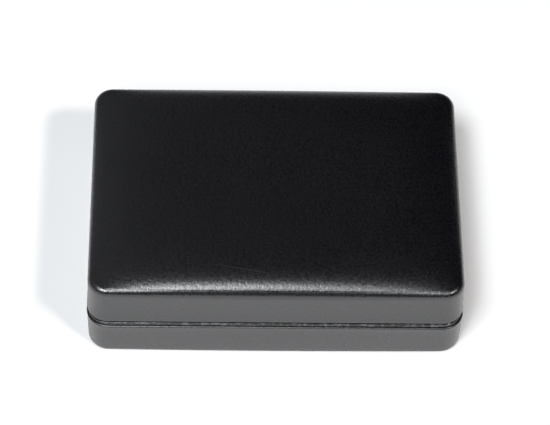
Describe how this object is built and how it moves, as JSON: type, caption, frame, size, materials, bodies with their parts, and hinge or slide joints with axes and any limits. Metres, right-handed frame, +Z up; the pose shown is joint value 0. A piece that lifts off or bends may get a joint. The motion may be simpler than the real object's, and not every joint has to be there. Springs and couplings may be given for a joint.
{
  "type": "bullion bar case",
  "caption": "Hinged presentation case for a carded bullion bar: padded leatherette lid and base, snap-spring hinge, velvet insert with a bar well, satin-lined lid.",
  "frame": {"origin": "middle of the closed case's footprint, on the surface that it stands on", "axes": "+X along the hinge towards the right-hand end, +Y towards the hinge at the back, +Z up through the lid"},
  "size_m": [0.115, 0.08, 0.0327],
  "materials": {
    "leatherette": "satin black leatherette with a very fine grain",
    "shell_plastic": "moulded, matt",
    "rim_lacquer": "black lacquer, semi-gloss",
    "hinge_steel": "nickel plated",
    "spring_steel": "bare spring steel",
    "rivet_steel": "nickel plated",
    "velvet": "short pile",
    "ribbon": "ribbed satin weave",
    "satin": "satin weave, soft sheen",
    "wadding": "fibre",
    "foam": "closed-cell foam",
    "card": "grey board",
    "base_paper": "black flocked paper"
  },
  "bodies": {
    "base": {"base_shell": "shell_plastic", "base_cover": "leatherette", "base_card": "card", "bottom_panel": "base_paper", "base_rim_frame": "rim_lacquer", "base_hinge_leaf": "hinge_steel", "hinge_pin": "hinge_steel", "base_hinge_rivets": "rivet_steel", "base_spring_rivets": "rivet_steel", "snap_spring": "spring_steel", "insert_core": "card", "well_pad": "foam", "insert_velvet": "velvet", "lift_ribbon": "ribbon"},
    "lid": {"lid_shell": "shell_plastic", "lid_padding": "foam", "lid_cover": "leatherette", "lid_rim_frame": "rim_lacquer", "lid_hinge_leaf": "hinge_steel", "lid_hinge_rivets": "rivet_steel", "lid_spring_rivets": "rivet_steel", "lining_satin": "satin", "lining_wadding": "wadding", "lining_board": "card", "lid_spacer_frame": "card"}
  },
  "joints": [
    {"name": "lid_hinge", "type": "hinge", "parent": "base", "child": "lid", "pos_m": [0, 0.0387, 0.01515], "axis": [-1, 0, 0], "range_deg": [0, 100], "deforming": ["snap_spring"]}
  ]
}
